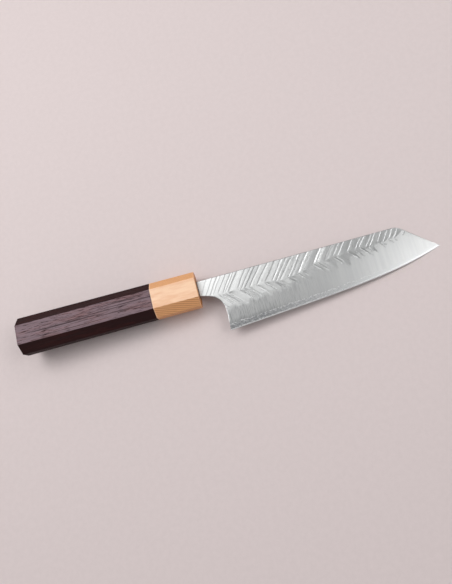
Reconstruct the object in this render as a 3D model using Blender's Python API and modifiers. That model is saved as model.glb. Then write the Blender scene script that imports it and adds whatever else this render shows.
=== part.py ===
"""Bunka kitchen knife with a three-layer forged blade and an eight-sided wooden handle.

The knife is built in its own frame: the origin is on the handle's axis at the ferrule's front face,
+X points to the tip, +Y to the spine and +Z out of the right cheek. An empty then lays the finished
knife down as it rests on a table, on its tip and on the ferrule's lower front edge.
"""

import math

import bmesh
import bpy
from mathutils import Matrix, Vector
from mathutils.geometry import interpolate_bezier

# Blade outline
NECK_LENGTH = 0.0160  # ferrule to heel corner
BLADE_LENGTH = 0.1632  # heel corner to tip
SPINE_HEIGHT = 0.0059  # spine above the handle's axis, at the ferrule
SPINE_RISE = 0.0007  # what the spine gains by the clipped corner
CLIP_ANGLE = math.radians(40.4)  # clipped back against the handle's axis
CLIP_RADIUS = 0.0092
TIP_DROP = 0.0151  # tip below the handle's axis
HEEL_DROP = 0.0356
EDGE_SLOPE = 0.071  # rise per metre of the straight part of the edge
BELLY_POWER = 4.72  # how late the edge curls up to the tip
NECK_DROP = 0.0054  # neck's underside below the handle's axis
NECK_SLOPE = math.radians(11.5)  # of that underside, falling towards the blade
NECK_RUN = 0.0090  # length of the curve's handle there
CHOIL_DROP = 0.0234  # where the choil's curve runs into its straight front
CHOIL_BULGE = 0.0006  # how far that place stands ahead of the heel corner
CHOIL_RUN = 0.0143  # length of the curve's handle there

# Blade thickness and grind
STOCK_THICKNESS = 0.0022  # three layers together, at neck and tang
CORE_THICKNESS = 0.00058
CORNER_THICKNESS = 0.0017  # spine at the clipped corner
CHEEK_THINNING = 0.004  # what each cheek loses per metre from the spine down
GRIND_AT_HEEL = 0.0175  # width of the ground bevel
GRIND_AT_CORNER = 0.0205
EDGE_BEVEL_WIDTH = 0.0007
EDGE_BEVEL_THICKNESS = 0.00022  # at the top of the sharpened bevel
SPARE_STEEL = 0.0020  # below the edge, before grinding

# Tang
TANG_LENGTH = 0.062
TANG_ROOT_HEIGHT = 0.0072
TANG_END_HEIGHT = 0.0050

# Handle
HANDLE_LENGTH = 0.1357
FERRULE_LENGTH = 0.0339
FRONT_WIDTH = 0.0264
FRONT_THICKNESS = 0.0210
BUTT_WIDTH = 0.0277
BUTT_THICKNESS = 0.0216
FRONT_CHAMFER = (0.0059, 0.0064)  # across the width and across the thickness
BUTT_CHAMFER = (0.0067, 0.0065)
RIDGE_ROUNDING = 0.0003
END_ROUNDING = 0.0005

# Joint between blade and handle
MOUTH_DEPTH = 0.0080  # ferrule's front wall, which the neck passes
SEAL_WALL = 0.0008
SEAL_STANDS_OUT = 0.0005
BEDDING_WALL = 0.0009
BEDDING_FLOOR = 0.0015
DOWEL_WALL = 0.0011  # thinnest wood, at the mortise's corners
DOWEL_FLOOR = 0.0150  # solid wood behind the mortise
FIT_GAP = 0.0003

# How finely curves are drawn, and how far cutters run past what they cut
EDGE_STATIONS = 40
CHOIL_POINTS = 14
CORNER_POINTS = 7
ROUND_SIDES = 48
CUT_MARGIN = 0.004

TIP_X = NECK_LENGTH + BLADE_LENGTH
CLIP_X = TIP_X - (SPINE_HEIGHT + SPINE_RISE + TIP_DROP) / math.tan(CLIP_ANGLE)
HALF_CORE = CORE_THICKNESS / 2
HALF_STOCK = STOCK_THICKNESS / 2


def between(first, last, share):
    return first + (last - first) * share


def spine_y(x):
    """Spine line, straight from the ferrule to where it crosses the clipped back's line."""
    return SPINE_HEIGHT + SPINE_RISE * x / CLIP_X


def edge_y(x):
    """Cutting edge: a straight run from the heel, then a belly that curls up to the tip."""
    forward = x - NECK_LENGTH
    belly_rise = HEEL_DROP - TIP_DROP - EDGE_SLOPE * BLADE_LENGTH
    return -HEEL_DROP + EDGE_SLOPE * forward + belly_rise * max(forward / BLADE_LENGTH, 0.0) ** BELLY_POWER


def cheek_z(x, y):
    """Half thickness of the blade above its ground bevel, which makes each cheek one plane."""
    share = (x - NECK_LENGTH) / (CLIP_X - NECK_LENGTH)
    return between(STOCK_THICKNESS, CORNER_THICKNESS, share) / 2 - CHEEK_THINNING * (spine_y(x) - y)


def octagon(x):
    """The handle's eight corners at x, from the spine side round by the right cheek."""
    share = -x / HANDLE_LENGTH
    y = between(FRONT_WIDTH, BUTT_WIDTH, share) / 2
    z = between(FRONT_THICKNESS, BUTT_THICKNESS, share) / 2
    cut_y, cut_z = (between(front, butt, share) for front, butt in zip(FRONT_CHAMFER, BUTT_CHAMFER))
    upper = [(y, z - cut_z), (y - cut_y, z), (cut_y - y, z), (-y, z - cut_z)]
    lower = [(across, -up) for across, up in reversed(upper)]
    return [Vector((x, across, up)) for across, up in upper + lower]


def material(name, colour, roughness, metallic=0.0):
    made = bpy.data.materials.new(name)
    made.use_nodes = True
    made.diffuse_color = (*colour, 1.0)
    shader = made.node_tree.nodes["Principled BSDF"]
    shader.inputs["Base Color"].default_value = (*colour, 1.0)
    shader.inputs["Roughness"].default_value = roughness
    shader.inputs["Metallic"].default_value = metallic
    return made


def add_mesh(name, bm, collection):
    """New object from a bmesh, with its faces turned outwards."""
    bmesh.ops.recalc_face_normals(bm, faces=bm.faces)
    mesh = bpy.data.meshes.new(name)
    bm.to_mesh(mesh)
    bm.free()
    made = bpy.data.objects.new(name, mesh)
    collection.objects.link(made)
    return made


def loft(name, sections, collection):
    """Closed solid through sections that have the same number of corners."""
    bm = bmesh.new()
    rings = [[bm.verts.new(corner) for corner in section] for section in sections]
    for near, far in zip(rings, rings[1:]):
        for i in range(len(near)):
            j = (i + 1) % len(near)
            bm.faces.new((near[i], near[j], far[j], far[i]))
    bm.faces.new(rings[0])
    bm.faces.new(rings[-1])
    return add_mesh(name, bm, collection)


def plate(name, outline, low, high, collection):
    """Flat plate of the given outline between two heights, from a filled and extruded curve."""
    curve = bpy.data.curves.new(name + "_outline", "CURVE")
    curve.dimensions = "2D"
    curve.fill_mode = "BOTH"
    curve.extrude = (high - low) / 2
    spline = curve.splines.new("POLY")
    spline.points.add(len(outline) - 1)
    for point, (x, y) in zip(spline.points, outline):
        point.co = (x, y, 0.0, 1.0)
    spline.use_cyclic_u = True
    drawn = bpy.data.objects.new(name + "_outline", curve)
    collection.objects.link(drawn)
    mesh = bpy.data.meshes.new_from_object(drawn.evaluated_get(bpy.context.evaluated_depsgraph_get()))
    bm = bmesh.new()
    bm.from_mesh(mesh)
    bmesh.ops.remove_doubles(bm, verts=bm.verts, dist=1e-6)
    for vert in bm.verts:
        vert.co.z = high if vert.co.z > 0 else low
    bpy.data.objects.remove(drawn)
    bpy.data.meshes.remove(mesh)
    bpy.data.curves.remove(curve)
    return add_mesh(name, bm, collection)


def box(name, low, high, collection):
    bm = bmesh.new()
    low, high = Vector(low), Vector(high)
    place = Matrix.Translation((low + high) / 2) @ Matrix.Diagonal((*(high - low), 1.0))
    bmesh.ops.create_cube(bm, size=1.0, matrix=place)
    return add_mesh(name, bm, collection)


def rod(name, front_x, back_x, radius, collection):
    """Round rod on the handle's axis."""
    bm = bmesh.new()
    middle = Vector(((front_x + back_x) / 2, 0.0, 0.0))
    bmesh.ops.create_cone(
        bm,
        cap_ends=True,
        segments=ROUND_SIDES,
        radius1=radius,
        radius2=radius,
        depth=front_x - back_x,
        matrix=Matrix.Translation(middle) @ Matrix.Rotation(math.pi / 2, 4, "Y"),
    )
    return add_mesh(name, bm, collection)


def cut(target, cutter):
    cutter.hide_render = True
    cutter.display_type = "WIRE"
    modifier = target.modifiers.new(cutter.name, "BOOLEAN")
    modifier.operation = "DIFFERENCE"
    modifier.object = cutter


def finish(target, made_of):
    """Gives a sub-part its material and smooth round sides."""
    target.data.materials.append(made_of)
    target.data.shade_smooth()
    target.data.set_sharp_from_angle(angle=math.radians(20))


def clipped_corner():
    """Arc that rounds the corner between the spine and the clipped back."""
    lean = math.atan2(SPINE_RISE, CLIP_X)
    turn = CLIP_ANGLE + lean
    along = Vector((math.cos(lean), math.sin(lean)))
    start = Vector((CLIP_X, spine_y(CLIP_X))) - along * CLIP_RADIUS * math.tan(turn / 2)
    centre = start + Vector((along.y, -along.x)) * CLIP_RADIUS
    angles = [math.pi / 2 + lean - turn * i / (CORNER_POINTS - 1) for i in range(CORNER_POINTS)]
    return [centre + Vector((math.cos(angle), math.sin(angle))) * CLIP_RADIUS for angle in angles]


def choil():
    """Curve that runs up from the heel's straight front and back to the neck's underside."""
    front = Vector((CHOIL_BULGE, HEEL_DROP - CHOIL_DROP, 0.0)).normalized()
    low = Vector((NECK_LENGTH + CHOIL_BULGE, -CHOIL_DROP, 0.0))
    high = Vector((0.0, -NECK_DROP, 0.0))
    neck = Vector((math.cos(NECK_SLOPE), -math.sin(NECK_SLOPE), 0.0))
    curve = interpolate_bezier(low, low + front * CHOIL_RUN, high + neck * NECK_RUN, high, CHOIL_POINTS)
    return [point.xy for point in curve]


def blank_outline():
    """Forged blank from tang to tip, with the spare steel that grinding takes off below the edge."""
    past_tip = SPARE_STEEL / math.tan(CLIP_ANGLE)
    before_heel = SPARE_STEEL * CHOIL_BULGE / (HEEL_DROP - CHOIL_DROP)
    run = TIP_X + past_tip - (NECK_LENGTH - before_heel)
    spare = []
    for i in range(EDGE_STATIONS + 1):
        x = TIP_X + past_tip - run * i / EDGE_STATIONS
        nearest = min(max(x, NECK_LENGTH), TIP_X)
        spare.append((x, edge_y(nearest) - SPARE_STEEL))
    root, end = TANG_ROOT_HEIGHT / 2, TANG_END_HEIGHT / 2
    shoulder_x = (SPINE_HEIGHT + NECK_DROP) / 2 - root - MOUTH_DEPTH
    tang = [(-MOUTH_DEPTH, -root), (-TANG_LENGTH, -end), (-TANG_LENGTH, end), (-MOUTH_DEPTH, root)]
    neck = [(shoulder_x, -NECK_DROP), *tang, (shoulder_x, SPINE_HEIGHT)]
    return [(0.0, SPINE_HEIGHT), *clipped_corner(), *spare, *choil(), *neck]


def grind_cutter(name, side, collection):
    """What the wheel takes off one side: the wide bevel, then the narrow one that ends in the edge."""
    front_x, back_x = TIP_X + CUT_MARGIN, NECK_LENGTH - CUT_MARGIN
    sections = []
    for i in range(EDGE_STATIONS + 1):
        x = between(back_x, front_x, i / EDGE_STATIONS)
        edge = edge_y(x)
        width = between(GRIND_AT_HEEL, GRIND_AT_CORNER, (x - NECK_LENGTH) / (CLIP_X - NECK_LENGTH))
        ridge_z = cheek_z(x, edge + width)
        slope = (ridge_z - EDGE_BEVEL_THICKNESS / 2) / (width - EDGE_BEVEL_WIDTH)
        edge_slope = EDGE_BEVEL_THICKNESS / 2 / EDGE_BEVEL_WIDTH
        profile = [
            (edge - CUT_MARGIN, -CUT_MARGIN * edge_slope),
            (edge + EDGE_BEVEL_WIDTH, EDGE_BEVEL_THICKNESS / 2),
            (edge + width + CUT_MARGIN, ridge_z + CUT_MARGIN * slope),
            (edge + width + CUT_MARGIN, STOCK_THICKNESS),
            (edge - CUT_MARGIN, STOCK_THICKNESS),
        ]
        sections.append([(x, y, side * z) for y, z in profile])
    return loft(name, sections, collection)


def taper_cutter(name, side, collection):
    """What is taken off one cheek, so that the blade thins towards its tip and its edge."""
    low_y, high_y = -HEEL_DROP - CUT_MARGIN, SPINE_HEIGHT + SPINE_RISE + CUT_MARGIN
    sections = []
    for x in (-TANG_LENGTH - CUT_MARGIN, TIP_X + CUT_MARGIN):
        floor = [(x, y, side * cheek_z(x, y)) for y in (low_y, high_y)]
        roof = [(x, y, side * STOCK_THICKNESS) for y in (high_y, low_y)]
        sections.append(floor + roof)
    return loft(name, sections, collection)


def handle_piece(name, front_x, back_x, free_x, collection):
    """Length of the eight-sided handle, with rounded ridges and a rounded rim at its free end."""
    piece = loft(name, [octagon(front_x), octagon(back_x)], collection)
    widest = max(RIDGE_ROUNDING, END_ROUNDING)
    middle = (front_x + back_x) / 2
    bm = bmesh.new()
    bm.from_mesh(piece.data)
    weight = bm.edges.layers.float.new("bevel_weight_edge")
    for edge in bm.edges:
        free_corners = sum((vert.co.x - middle) * (free_x - middle) > 0 for vert in edge.verts)
        edge[weight] = {0: 0.0, 1: RIDGE_ROUNDING / widest, 2: END_ROUNDING / widest}[free_corners]
    bm.to_mesh(piece.data)
    bm.free()
    rounding = piece.modifiers.new("rounding", "BEVEL")
    rounding.limit_method = "WEIGHT"
    rounding.width = widest
    rounding.segments = 2
    return piece


def lay_down(name, pieces, pieces_cutters, collection):
    """Turns all on one empty until tip and ferrule touch the table, with the origin under the middle."""
    graph = bpy.context.evaluated_depsgraph_get()
    corners = []
    for piece in pieces:
        solid = piece.evaluated_get(graph)
        corners += [vert.co.copy() for vert in solid.to_mesh().vertices]
        solid.to_mesh_clear()
    prop = min(octagon(-END_ROUNDING), key=lambda corner: corner.z)
    ahead = [corner - prop for corner in corners if corner.x > NECK_LENGTH]
    lean = Matrix.Rotation(math.atan(min(offset.z / offset.x for offset in ahead)), 4, "Y")
    leaning = [lean @ corner for corner in corners]
    low, high = (Vector(pick(corner[i] for corner in leaning) for i in range(3)) for pick in (min, max))
    foot = Vector(((low.x + high.x) / 2, (low.y + high.y) / 2, low.z))
    empty = bpy.data.objects.new(name, None)
    collection.objects.link(empty)
    empty.matrix_world = Matrix.Translation(-foot) @ lean
    for rider in (*pieces, *pieces_cutters):
        rider.parent = empty


for old in list(bpy.data.objects):
    bpy.data.objects.remove(old)
knife = bpy.data.collections.new("bunka_knife")
cutters = bpy.data.collections.new("cutters")
for collection in (knife, cutters):
    bpy.context.scene.collection.children.link(collection)
cutters.hide_render = True

hard_steel = material("hard_steel", (0.60, 0.60, 0.61), 0.28, 1.0)
soft_steel = material("soft_steel", (0.72, 0.72, 0.72), 0.32, 1.0)
dark_wood = material("dark_wood", (0.115, 0.062, 0.060), 0.45)
pale_wood = material("pale_wood", (0.76, 0.44, 0.22), 0.48)
dowel_wood = material("dowel_wood", (0.62, 0.45, 0.27), 0.60)
dark_resin = material("dark_resin", (0.020, 0.018, 0.017), 0.50)

# Blade: three layers of one outline, forged flat against each other and then ground together
outline = blank_outline()
core = plate("core_steel", outline, -HALF_CORE, HALF_CORE, knife)
right_cladding = plate("right_cladding", outline, HALF_CORE, HALF_STOCK, knife)
left_cladding = plate("left_cladding", outline, -HALF_STOCK, -HALF_CORE, knife)
for cladding, side, side_name in ((right_cladding, 1, "right"), (left_cladding, -1, "left")):
    grind = grind_cutter(side_name + "_grind", side, cutters)
    cut(cladding, taper_cutter(side_name + "_taper", side, cutters))
    cut(cladding, grind)
    cut(core, grind)
    finish(cladding, soft_steel)
finish(core, hard_steel)

# Neck seal: a collar of resin that fills the ferrule's mouth round the neck
neck_low = Vector((-MOUTH_DEPTH, -NECK_DROP - FIT_GAP, -HALF_STOCK - FIT_GAP))
neck_high = Vector((0.0, SPINE_HEIGHT + FIT_GAP, HALF_STOCK + FIT_GAP))
seal_low = neck_low + Vector((FIT_GAP, -SEAL_WALL, -SEAL_WALL))
seal_high = neck_high + Vector((SEAL_STANDS_OUT, SEAL_WALL, SEAL_WALL))
past_ends = Vector((CUT_MARGIN, 0.0, 0.0))
neck_seal = box("neck_seal", seal_low, seal_high, knife)
cut(neck_seal, box("neck_pocket", neck_low - past_ends, neck_high + past_ends, cutters))
finish(neck_seal, dark_resin)

# Tang bedding: resin poured round the tang in its mortise
bedding_front, bedding_back = -MOUTH_DEPTH - FIT_GAP, -TANG_LENGTH - FIT_GAP - BEDDING_FLOOR
bedding_y = max(TANG_ROOT_HEIGHT, TANG_END_HEIGHT) / 2 + FIT_GAP + BEDDING_WALL
bedding_z = HALF_STOCK + FIT_GAP + BEDDING_WALL
tang_bedding = box(
    "tang_bedding",
    (bedding_back, -bedding_y, -bedding_z),
    (bedding_front, bedding_y, bedding_z),
    knife,
)
root_y, end_y = TANG_ROOT_HEIGHT / 2 + FIT_GAP, TANG_END_HEIGHT / 2 + FIT_GAP
pocket = [(0.0, root_y), (-MOUTH_DEPTH, root_y), (-TANG_LENGTH - FIT_GAP, end_y)]
pocket += [(x, -y) for x, y in reversed(pocket)]
cut(tang_bedding, plate("tang_pocket", pocket, -HALF_STOCK - FIT_GAP, HALF_STOCK + FIT_GAP, cutters))
finish(tang_bedding, dark_resin)

# Dowel: the rod that holds ferrule and body in line, with the mortise for the bedded tang
mortise_y, mortise_z, mortise_back = bedding_y + FIT_GAP, bedding_z + FIT_GAP, bedding_back - FIT_GAP
dowel_radius = math.hypot(mortise_y, mortise_z) + DOWEL_WALL
dowel_back = mortise_back - DOWEL_FLOOR
dowel = rod("handle_dowel", bedding_front, dowel_back, dowel_radius, knife)
mortise_low, mortise_high = (mortise_back, -mortise_y, -mortise_z), (0.0, mortise_y, mortise_z)
cut(dowel, box("mortise", mortise_low, mortise_high, cutters))
finish(dowel, dowel_wood)

# Ferrule: pale block with a mouth for the sealed neck and a round bore behind it for the dowel
bore_radius = dowel_radius + FIT_GAP
fit = Vector((0.0, FIT_GAP, FIT_GAP))
ferrule = handle_piece("ferrule", 0.0, -FERRULE_LENGTH, 0.0, knife)
cut(ferrule, box("mouth", seal_low - fit - past_ends, seal_high + fit + past_ends, cutters))
cut(ferrule, rod("ferrule_bore", -MOUTH_DEPTH, -FERRULE_LENGTH - CUT_MARGIN, bore_radius, cutters))
finish(ferrule, pale_wood)

# Handle body: dark wood, glued to the ferrule end to end, with a blind bore for the dowel
body = handle_piece("handle_body", -FERRULE_LENGTH, -HANDLE_LENGTH, -HANDLE_LENGTH, knife)
cut(body, rod("body_bore", -FERRULE_LENGTH + CUT_MARGIN, dowel_back - FIT_GAP, bore_radius, cutters))
finish(body, dark_wood)

lay_down("knife_at_rest", list(knife.objects), list(cutters.objects), knife)
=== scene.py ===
"""Looks of a bunka kitchen knife: three-layer hammered blade, pale ferrule and dark eight-sided handle.

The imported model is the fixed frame. New pieces are made in the knife's own axes, where the origin is on
the handle's axis at the ferrule's front face, +X points to the tip, +Y to the spine and +Z out of the
right cheek. They are then laid down with the frame.
"""

import math
from types import SimpleNamespace

import bmesh
import bpy
import numpy as np
from mathutils import Matrix, Vector
from mathutils.geometry import delaunay_2d_cdt, interpolate_bezier
from mathutils.kdtree import KDTree


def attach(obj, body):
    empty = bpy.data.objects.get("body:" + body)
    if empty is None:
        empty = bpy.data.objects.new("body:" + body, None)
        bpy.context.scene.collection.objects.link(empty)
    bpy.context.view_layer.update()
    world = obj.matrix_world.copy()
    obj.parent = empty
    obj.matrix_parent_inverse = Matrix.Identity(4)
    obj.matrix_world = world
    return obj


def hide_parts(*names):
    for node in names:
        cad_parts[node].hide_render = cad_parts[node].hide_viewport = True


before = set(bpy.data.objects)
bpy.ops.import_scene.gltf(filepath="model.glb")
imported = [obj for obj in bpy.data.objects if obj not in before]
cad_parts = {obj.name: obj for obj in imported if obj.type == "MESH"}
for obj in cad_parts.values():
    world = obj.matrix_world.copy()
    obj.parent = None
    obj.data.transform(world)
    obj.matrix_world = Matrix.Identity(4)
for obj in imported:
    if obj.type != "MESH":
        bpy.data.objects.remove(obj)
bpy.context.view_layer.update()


# How the knife lies: tip and ferrule carry it, so its own axis leans a little down towards the tip.
# The dowel inside the handle runs along that axis, and the ferrule's front face is where it starts.
def corners_of(node_name):
    """Corners of one of the frame's nodes, each once."""
    return np.unique(np.round([vert.co[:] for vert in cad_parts[node_name].data.vertices], 7), axis=0)


dowel_corners = corners_of("handle_dowel")
in_front = dowel_corners[:, 0] > dowel_corners[:, 0].mean()
dowel_back = Vector(dowel_corners[~in_front].mean(axis=0))
to_tip = (Vector(dowel_corners[in_front].mean(axis=0)) - dowel_back).normalized()
to_spine = Vector((0.0, 1.0, 0.0))
out_of_cheek = to_tip.cross(to_spine)
ferrule_reach = max(to_tip.dot(Vector(corner) - dowel_back) for corner in corners_of("ferrule"))
knife_axes = Matrix((to_tip, to_spine, out_of_cheek)).transposed().to_4x4()
knife_place = Matrix.Translation(dowel_back + to_tip * ferrule_reach) @ knife_axes


# Blade outline: forged in one with neck and tang from three layers of steel, then ground to this line.
# The spine ends in a rounded corner and a straight clipped back, and the heel stands under a deep choil.
HEEL_X = 0.0160  # length of the neck
BLADE_LENGTH = 0.1632
SPINE_HEIGHT = 0.0059
SPINE_RISE = 0.0007
CLIP_ANGLE = math.radians(40.4)
CLIP_RADIUS = 0.0092
TIP_DROP = 0.0151
HEEL_DROP = 0.0356
EDGE_SLOPE = 0.071
BELLY_POWER = 4.72
NECK_DROP = 0.0054
NECK_SLOPE = math.radians(11.5)
NECK_RUN = 0.0090
CHOIL_DROP = 0.0234
CHOIL_BULGE = 0.0006
CHOIL_RUN = 0.0143
MOUTH_DEPTH = 0.0080
TANG_LENGTH = 0.062
TANG_ROOT_HEIGHT = 0.0072
TANG_END_HEIGHT = 0.0050
TIP_X = HEEL_X + BLADE_LENGTH
CLIP_X = TIP_X - (SPINE_HEIGHT + SPINE_RISE + TIP_DROP) / math.tan(CLIP_ANGLE)
FINE_STEP = 0.00035  # between points on lines that the eye follows
EDGE_STEP = 0.0005
TANG_STEP = 0.0040


def spine_y(x):
    return SPINE_HEIGHT + SPINE_RISE * x / CLIP_X


def edge_y(x):
    """Cutting edge: a straight run from the heel, then a belly that curls up to the tip."""
    forward = np.asarray(x) - HEEL_X
    belly = np.maximum(forward / BLADE_LENGTH, 0.0) ** BELLY_POWER
    belly_rise = HEEL_DROP - TIP_DROP - EDGE_SLOPE * BLADE_LENGTH
    return -HEEL_DROP + EDGE_SLOPE * forward + belly_rise * belly


def back_y(x):
    """Line of the clipped back."""
    return -TIP_DROP + (TIP_X - x) * math.tan(CLIP_ANGLE)


def limited(share):
    return np.clip(share, 0.0, 1.0)


def evenly(corners, step):
    """Points at even steps along a line through the given corners."""
    corners = np.array([tuple(corner)[:2] for corner in corners])
    reach = np.concatenate([[0.0], np.cumsum(np.hypot(*np.diff(corners, axis=0).T))])
    marks = np.linspace(0.0, reach[-1], max(round(reach[-1] / step), 1) + 1)
    return np.column_stack([np.interp(marks, reach, corners[:, i]) for i in (0, 1)])


def clipped_corner(count=24):
    """Arc that rounds the corner between the spine and the clipped back."""
    lean = math.atan2(SPINE_RISE, CLIP_X)
    turn = CLIP_ANGLE + lean
    along = Vector((math.cos(lean), math.sin(lean)))
    start = Vector((CLIP_X, spine_y(CLIP_X))) - along * CLIP_RADIUS * math.tan(turn / 2)
    centre = start + Vector((along.y, -along.x)) * CLIP_RADIUS
    angles = [math.pi / 2 + lean - turn * i / (count - 1) for i in range(count)]
    return [centre + Vector((math.cos(angle), math.sin(angle))) * CLIP_RADIUS for angle in angles]


def choil(count=40):
    """Curve from the heel's straight front up and back to the neck's underside."""
    front = Vector((CHOIL_BULGE, HEEL_DROP - CHOIL_DROP, 0.0)).normalized()
    low = Vector((HEEL_X + CHOIL_BULGE, -CHOIL_DROP, 0.0))
    high = Vector((0.0, -NECK_DROP, 0.0))
    neck = Vector((math.cos(NECK_SLOPE), -math.sin(NECK_SLOPE), 0.0))
    return interpolate_bezier(low, low + front * CHOIL_RUN, high + neck * NECK_RUN, high, count)


shoulder_x = (SPINE_HEIGHT + NECK_DROP) / 2 - TANG_ROOT_HEIGHT / 2 - MOUTH_DEPTH
upper_shoulder, lower_shoulder = (shoulder_x, SPINE_HEIGHT), (shoulder_x, -NECK_DROP)
tang = [(-MOUTH_DEPTH, TANG_ROOT_HEIGHT / 2), (-TANG_LENGTH, TANG_END_HEIGHT / 2)]
tang = [(x, -y) for x, y in tang] + tang[::-1]
edge_x = np.linspace(TIP_X, HEEL_X, round(BLADE_LENGTH / EDGE_STEP) + 1)
back_line = evenly([upper_shoulder, (0.0, SPINE_HEIGHT), *clipped_corner(), (TIP_X, -TIP_DROP)], FINE_STEP)
edge_line = np.column_stack([edge_x, edge_y(edge_x)])
front_line = evenly([(HEEL_X, -HEEL_DROP), *choil(), lower_shoulder], FINE_STEP)
tang_line = evenly([lower_shoulder, *tang, upper_shoulder], TANG_STEP)
outline = np.concatenate([back_line[:-1], edge_line[:-1], front_line[:-1], tang_line[:-1]])
edge_start, edge_stop = len(back_line) - 1, len(back_line) + len(edge_line) - 2


def inside_gap(points):
    """Distance of each point from the outline, positive inside the blade."""
    near = np.array([outline_tree.find((x, y, 0.0))[1] for x, y in points])
    gaps, within = [], []
    for before, after in ((near - 1, near), (near, (near + 1) % len(outline))):
        run = outline[after] - outline[before]
        offset = points - outline[before]
        share = limited((offset * run).sum(axis=1) / (run**2).sum(axis=1))
        gaps.append(np.hypot(*(offset - share[:, None] * run).T))
        within.append(run[:, 0] * offset[:, 1] - run[:, 1] * offset[:, 0] < 0.0)
    return np.where(within[0] & within[1], 1.0, -1.0) * np.minimum(*gaps)


# Grind: both cheeks taper to the tip, a wide bevel runs down to the edge and a narrow one ends in it.
# The soft outer layers stop at a wavy line on the wide bevel, and below it the hard core comes out.
STOCK_THICKNESS = 0.0022  # at the neck
CORE_THICKNESS = 0.00058
CORNER_THICKNESS = 0.0017  # at the corner of the clipped back
CHEEK_THINNING = 0.004
# The bevel's height above the edge, as (x, height): it is ground until it just meets the strokes
GRIND_WIDTHS = ((0.016, 0.0172), (0.066, 0.0184), (0.090, 0.0210), (0.154, 0.0236), (0.180, 0.0246))
EDGE_WIDTH = 0.0007
EDGE_THICKNESS = 0.00022
HALF_CORE = CORE_THICKNESS / 2
CORE_SHOWS = ((0.0160, 0.0046), (0.0900, 0.0041), (0.1790, 0.0034))  # (x, height above the edge)
# Waves of the line, as (length, height)
CORE_WAVES = ((0.0130, 0.00026), (0.0074, 0.00020), (0.0041, 0.00015), (0.0023, 0.00009))
WAVE_SWAY, SWAY_LENGTH = 1.3, 2.7  # slow change of each wave's pace, and its length in waves
CALM_RUN = 0.0050  # run over which the waves fade out towards both ends
TIP_ROOM = 0.0060  # left free of waves before the tip
CORE_SPREAD = 0.0040  # above the wavy line, where the core reaches its full thickness
RIGHT, LEFT = 1, -1
wave_seeds = {RIGHT: 11, LEFT: 12}


def cheek_z(x, y):
    """Half thickness above the ground bevel."""
    forward = x - HEEL_X
    change = (CORNER_THICKNESS - STOCK_THICKNESS) * forward / (CLIP_X - HEEL_X)
    return (STOCK_THICKNESS + change) / 2 - CHEEK_THINNING * (spine_y(x) - y)


def grind_y(x):
    """Height where the ground bevel meets the plain cheek."""
    return edge_y(x) + np.interp(x, *zip(*GRIND_WIDTHS))


def bevel_z(x, y):
    """Half thickness that grinding leaves: the wide bevel, and the narrow one at the edge."""
    edge = edge_y(x)
    width = grind_y(x) - edge
    edge_z = EDGE_THICKNESS / 2
    slope = (cheek_z(x, edge + width) - edge_z) / (width - EDGE_WIDTH)
    wide = edge_z + slope * (y - edge - EDGE_WIDTH)
    narrow = edge_z / EDGE_WIDTH * (y - edge)
    return np.minimum(wide, narrow)


def wavy_y(x, side):
    """Wavy line where the outer layer ends. Both sides share its two ends."""
    rng = np.random.default_rng(wave_seeds[side])
    x = np.asarray(x, float)
    heights = np.interp(x, *zip(*CORE_SHOWS))
    from_ends = np.minimum(x - HEEL_X - CHOIL_BULGE, TIP_X - TIP_ROOM - x)
    calm = limited(from_ends / CALM_RUN)
    for length, height in CORE_WAVES:
        phase, drift = rng.uniform(0.0, 2 * math.pi, 2)
        sway = WAVE_SWAY * np.sin(2 * math.pi * x / (SWAY_LENGTH * length) + drift)
        heights += calm * height * np.sin(2 * math.pi * x / length + phase + sway)
    return edge_y(x) + heights


def interface_z(x, y, side):
    """Half thickness of the core, which hides under the outer layer and runs out at the wavy line."""
    line = wavy_y(x, side)
    line_z = bevel_z(x, line)
    return line_z + (HALF_CORE - line_z) * limited((y - line) / CORE_SPREAD)


# The wavy line ends at two points of the outline, which are moved to it
heel_end_y = float(wavy_y(HEEL_X + CHOIL_BULGE / 2, RIGHT))
heel_end = (HEEL_X + CHOIL_BULGE * (heel_end_y + HEEL_DROP) / (HEEL_DROP - CHOIL_DROP), heel_end_y)
tip_stretch = np.linspace(TIP_X - 0.0200, TIP_X, 2001)  # the last 20 mm, searched closely
tip_end_x = tip_stretch[np.argmin(np.abs(wavy_y(tip_stretch, RIGHT) - back_y(tip_stretch)))]
tip_end = (tip_end_x, back_y(tip_end_x))
line_ends = [int(np.hypot(*(outline - end).T).argmin()) for end in (heel_end, tip_end)]
outline[line_ends] = heel_end, tip_end
outline_tree = KDTree(len(outline))
for number, (x, y) in enumerate(outline):
    outline_tree.insert((x, y, 0.0), number)
outline_tree.balance()


# Hammered finish: rows of long grooves above the bevel, struck with a hammer's narrow end and laid like
# herringbone. The upper row runs from the spine down and back, and the lower row down and forward again.
STROKE_WIDTHS = (  # (x, usual width)
    (0.000, 0.0046), (0.028, 0.0041), (0.060, 0.0040), (0.088, 0.0046), (0.165, 0.0050),
)
WIDTH_SPREAD = (0.55, 1.45)
LEAST_WIDTH = 0.0008
FIRST_STROKE_X = -0.0040
UPPER_ANGLES = ((0.000, 61.0), (0.030, 54.0), (0.080, 50.0), (0.125, 51.0), (0.160, 55.0))  # (x, degrees)
LOWER_ANGLE = 46.0
TURNING_LINE = (  # (x, y) where the strokes turn
    (-0.010, -0.0062), (0.020, -0.0079), (0.050, -0.0083), (0.077, -0.0090),
    (0.088, -0.0046), (0.109, -0.0024), (0.135, -0.0019), (0.160, -0.0006),
)
TURN_SETBACK = 0.0080  # how far behind its top a stroke turns
ANGLE_SPREAD = 2.2
TURN_SPREAD = 0.0011
WANDER = 0.00016  # how far the line between two strokes strays from straight
WANDER_PACE = (0.0011, 0.0024)
STEEP_WALL = (0.00038, 0.00085)  # width of a groove's steep side
SLOW_WALL = (0.35, 0.95)  # where its other side ends, as a share of the stroke
WIDEST_WALL = 0.45
LEAST_RISE = 0.2
STEEPNESS = 0.25
STEEPNESS_SPREAD = (0.75, 1.25)
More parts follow.
